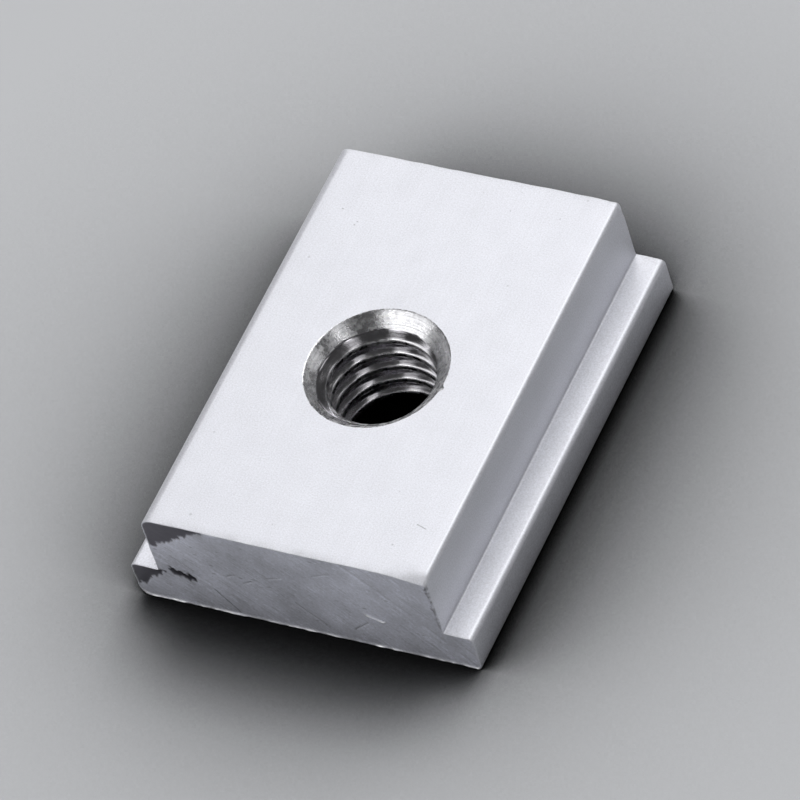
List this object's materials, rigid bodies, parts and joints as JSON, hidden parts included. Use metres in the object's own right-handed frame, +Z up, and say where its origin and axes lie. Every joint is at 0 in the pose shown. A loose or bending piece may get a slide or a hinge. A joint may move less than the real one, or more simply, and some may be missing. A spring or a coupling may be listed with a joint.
{
  "type": "t slot nut",
  "caption": "T-shaped sliding nut for an aluminium T-track, sawn from extruded bar, with a countersunk tapped hole through its neck.",
  "frame": {"origin": "middle of the flat underside, halfway along the nut's length and across its flange", "axes": "+X across the slot, +Y along the slot, +Z up out of the slot, parallel to the tapped hole"},
  "size_m": [0.023, 0.03, 0.0079],
  "materials": {
    "satin_aluminium": "fine blasted and clear anodised extrusion skin, satin and pale; bare sawn metal on both ends and bare turned metal in the hole"
  },
  "bodies": {
    "root": {"t_slot_nut": "satin_aluminium"}
  },
  "joints": []
}
